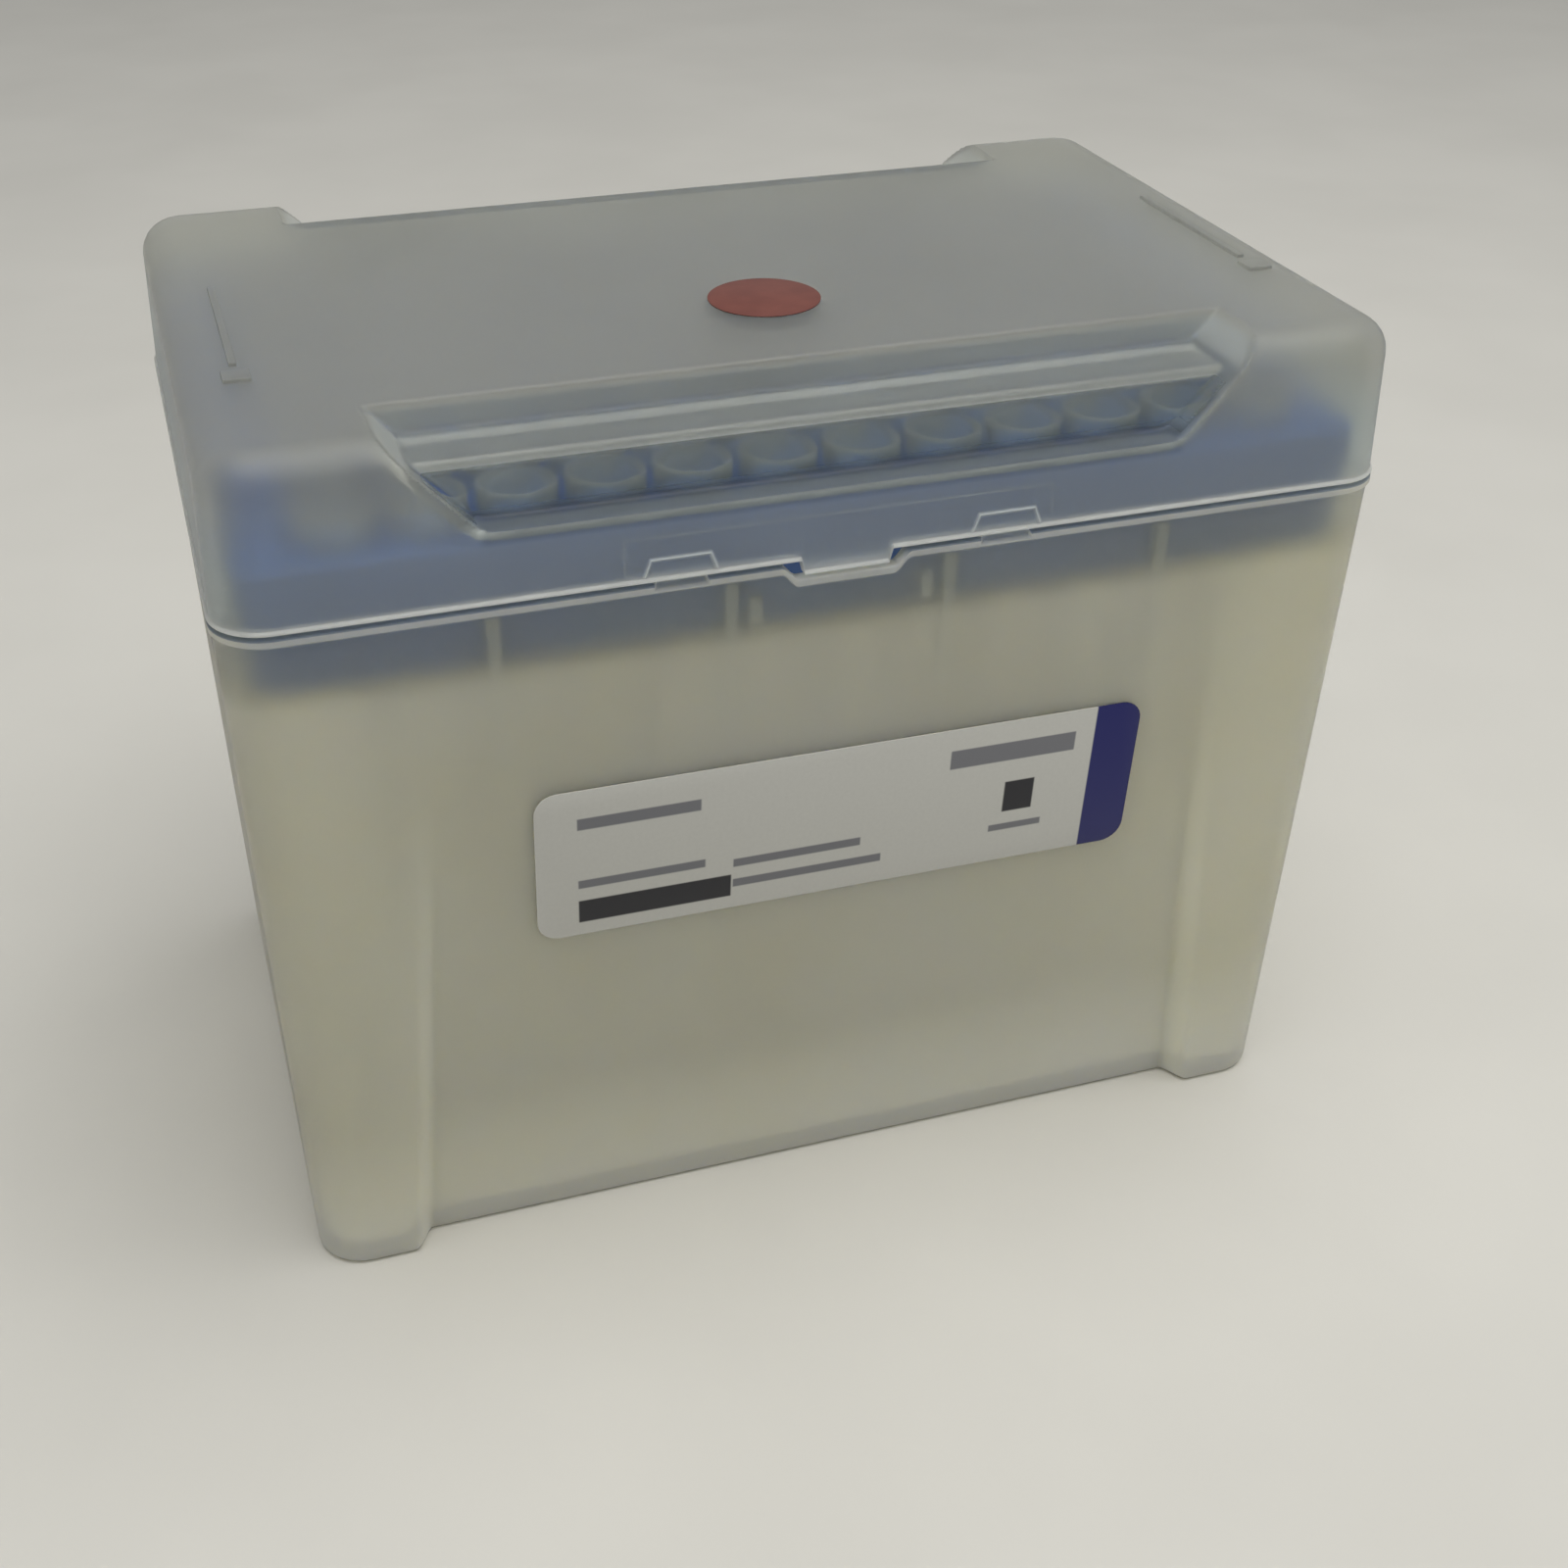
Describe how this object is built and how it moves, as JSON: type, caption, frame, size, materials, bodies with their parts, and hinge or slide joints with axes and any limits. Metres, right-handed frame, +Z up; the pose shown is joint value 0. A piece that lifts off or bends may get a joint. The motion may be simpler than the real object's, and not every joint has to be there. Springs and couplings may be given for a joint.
{
  "type": "pipette tip box",
  "caption": "Hinged polypropylene box of long pipette tips in a blue tray at 9 mm pitch, with a frosted lid, label and red dot",
  "frame": {"origin": "middle of the base's underside, on the resting plane", "axes": "+X along the length of the box, +Y from the latch to the hinge, +Z up"},
  "size_m": [0.1254, 0.0863, 0.1021],
  "materials": {
    "milky_shell": "natural polypropylene, injection moulded, fine matt texture, milky and translucent",
    "frosted_shell": "clarified polypropylene, lightly frosted, translucent",
    "tray_blue": "mid blue polypropylene, injection moulded, satin",
    "tip_natural": "natural polypropylene, polished mould, translucent",
    "label_paper": "white paper label with a dark blue printed end stripe",
    "indicator_red": "printed red paper sticker"
  },
  "bodies": {
    "box": {"base": "milky_shell", "tray": "tray_blue", "front_label": "label_paper", "tip_a1": "tip_natural", "tip_a2": "tip_natural", "tip_a3": "tip_natural", "tip_a4": "tip_natural", "tip_a5": "tip_natural", "tip_a6": "tip_natural", "tip_a7": "tip_natural", "tip_a8": "tip_natural", "tip_a9": "tip_natural", "tip_a10": "tip_natural", "tip_a11": "tip_natural", "tip_a12": "tip_natural", "tip_b1": "tip_natural", "tip_b2": "tip_natural", "tip_b3": "tip_natural", "tip_b4": "tip_natural", "tip_b5": "tip_natural", "tip_b6": "tip_natural", "tip_b7": "tip_natural", "tip_b8": "tip_natural", "tip_b9": "tip_natural", "tip_b10": "tip_natural", "tip_b11": "tip_natural", "tip_b12": "tip_natural", "tip_c1": "tip_natural", "tip_c2": "tip_natural", "tip_c3": "tip_natural", "tip_c4": "tip_natural", "tip_c5": "tip_natural", "tip_c6": "tip_natural", "tip_c7": "tip_natural", "tip_c8": "tip_natural", "tip_c9": "tip_natural", "tip_c10": "tip_natural", "tip_c11": "tip_natural", "tip_c12": "tip_natural", "tip_d1": "tip_natural", "tip_d2": "tip_natural", "tip_d3": "tip_natural", "tip_d4": "tip_natural", "tip_d5": "tip_natural", "tip_d6": "tip_natural", "tip_d7": "tip_natural", "tip_d8": "tip_natural", "tip_d9": "tip_natural", "tip_d10": "tip_natural", "tip_d11": "tip_natural", "tip_d12": "tip_natural"},
    "lid": {"lid": "frosted_shell", "indicator_dot": "indicator_red"}
  },
  "joints": [
    {"name": "lid_hinge", "type": "hinge", "parent": "box", "child": "lid", "pos_m": [0, 0.0433, 0.0845], "axis": [-1, 0, 0], "range_deg": [0, 110]}
  ]
}
